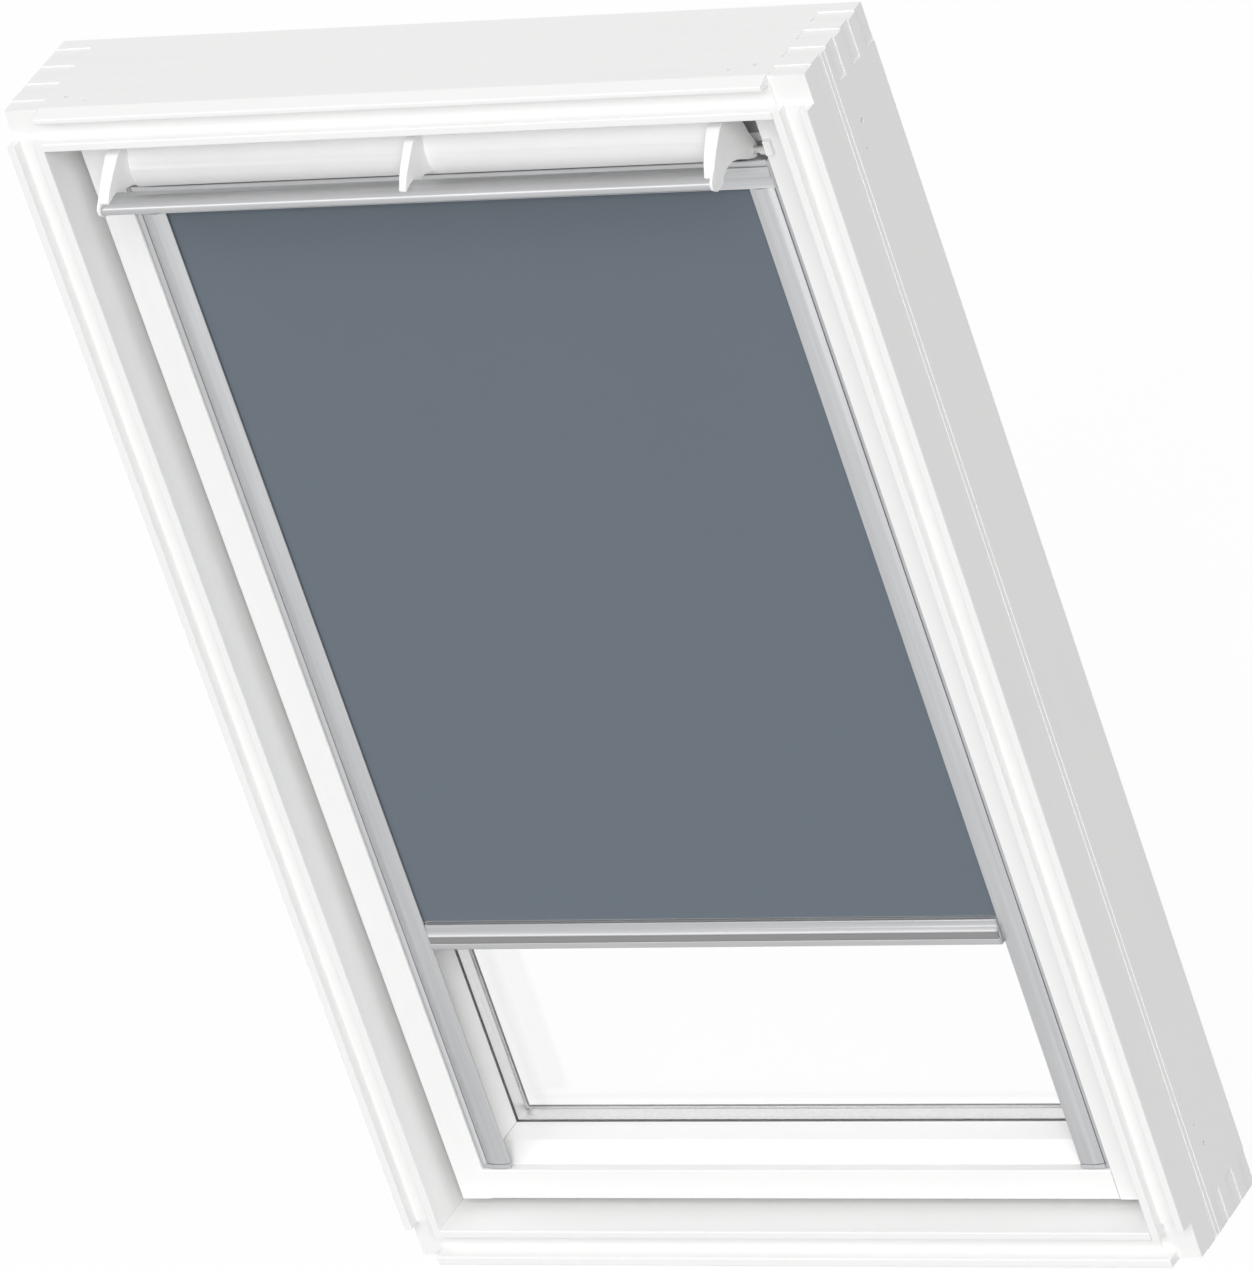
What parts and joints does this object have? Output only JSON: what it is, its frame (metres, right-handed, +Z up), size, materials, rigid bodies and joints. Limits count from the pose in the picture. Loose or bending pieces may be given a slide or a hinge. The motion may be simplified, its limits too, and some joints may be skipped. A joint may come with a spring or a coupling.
{
  "type": "roof window with roller blind",
  "caption": "White centre-pivot roof window with a grey roller blind that runs in side rails, a top control bar and a ventilation flap.",
  "frame": {"origin": "middle of the sill face, the flat underside of the outer frame, at half its depth", "axes": "+Z up the slope, +Y from the room to the outside, +X to the right as seen from the room"},
  "size_m": [0.78, 0.1641, 1.178],
  "materials": {
    "frame_lacquer": "white lacquer, satin",
    "sash_lacquer": "white lacquer, satin",
    "seal_rubber": "matt black",
    "hinge_steel": "zinc plated",
    "lock_steel": "zinc plated",
    "pane_glass": "clear, polished",
    "spacer_metal": "mill finish",
    "cladding_metal": "dark grey, satin",
    "white_plastic": "white, satin",
    "grey_plastic": "grey, satin",
    "rail_aluminium": "natural anodised",
    "bar_aluminium": "natural anodised",
    "blind_cloth": "plain slate-grey blackout cloth"
  },
  "bodies": {
    "frame": {"frame_left_member": "frame_lacquer", "frame_right_member": "frame_lacquer", "frame_top_member": "frame_lacquer", "frame_bottom_member": "frame_lacquer", "frame_seal": "seal_rubber", "pivot_frame_plate_left": "hinge_steel", "pivot_frame_plate_right": "hinge_steel", "striker_plate": "lock_steel"},
    "sash": {"sash_left_member": "sash_lacquer", "sash_right_member": "sash_lacquer", "sash_top_member": "sash_lacquer", "sash_bottom_member": "sash_lacquer", "glass_inner_pane": "pane_glass", "glass_outer_pane": "pane_glass", "glazing_spacer": "spacer_metal", "inner_gasket": "seal_rubber", "outer_gasket": "seal_rubber", "cladding_left": "cladding_metal", "cladding_right": "cladding_metal", "cladding_top": "cladding_metal", "cladding_bottom": "cladding_metal", "pivot_sash_plate_left": "hinge_steel", "pivot_sash_plate_right": "hinge_steel", "flap_bearing_left": "lock_steel", "flap_bearing_right": "lock_steel", "vent_filter_left": "seal_rubber", "vent_filter_right": "seal_rubber", "lock_case": "lock_steel", "blind_rail_left": "rail_aluminium", "blind_rail_right": "rail_aluminium", "rail_foot_left": "rail_aluminium", "rail_foot_right": "rail_aluminium", "blind_headbox": "rail_aluminium", "headbox_cap_left": "grey_plastic", "headbox_cap_right": "grey_plastic", "blind_clip_left": "white_plastic", "blind_clip_right": "white_plastic", "blind_fabric": "blind_cloth"},
    "flap": {"vent_flap": "white_plastic", "bracket_left": "white_plastic", "bracket_middle": "white_plastic", "bracket_right": "white_plastic", "control_bar": "bar_aluminium", "control_bar_cap_left": "grey_plastic", "control_bar_cap_right": "grey_plastic"},
    "latch": {"latch_bolt": "lock_steel"},
    "barrel": {"barrel_bolt": "white_plastic"},
    "roller": {"roller_tube": "rail_aluminium", "fabric_roll": "blind_cloth", "roller_plug_left": "grey_plastic", "roller_plug_right": "grey_plastic"},
    "blind_bar": {"bottom_bar": "bar_aluminium", "bar_glide_left": "grey_plastic", "bar_glide_right": "grey_plastic"}
  },
  "joints": [
    {"name": "sash_pivot", "type": "hinge", "parent": "frame", "child": "sash", "pos_m": [0, 0.00825, 0.589], "axis": [1, 0, 0], "range_deg": [0, 160]},
    {"name": "flap_hinge", "type": "hinge", "parent": "sash", "child": "flap", "pos_m": [0, -0.01975, 1.091], "axis": [1, 0, 0], "range_deg": [0, 30]},
    {"name": "latch_slide", "type": "slide", "parent": "sash", "child": "latch", "axis": [0, 0, -1], "range_m": [0, 0.012]},
    {"name": "barrel_slide", "type": "slide", "parent": "sash", "child": "barrel", "axis": [0, 0, 1], "range_m": [0, 0.01]},
    {"name": "blind_slide", "type": "slide", "parent": "sash", "child": "blind_bar", "axis": [0, 0, 1], "range_m": [-0.225, 0.72], "deforming": ["blind_fabric"]},
    {"name": "roller_spin", "type": "hinge", "parent": "sash", "child": "roller", "pos_m": [0, -0.0129, 1.07025], "axis": [-1, 0, 0], "range_deg": [-1540, 4915]}
  ],
  "couplings": [
    {"joint": "latch_slide", "follows": "flap_hinge", "m_per_rad": 0.0229},
    {"joint": "roller_spin", "follows": "blind_slide", "rad_per_m": 119.05}
  ]
}
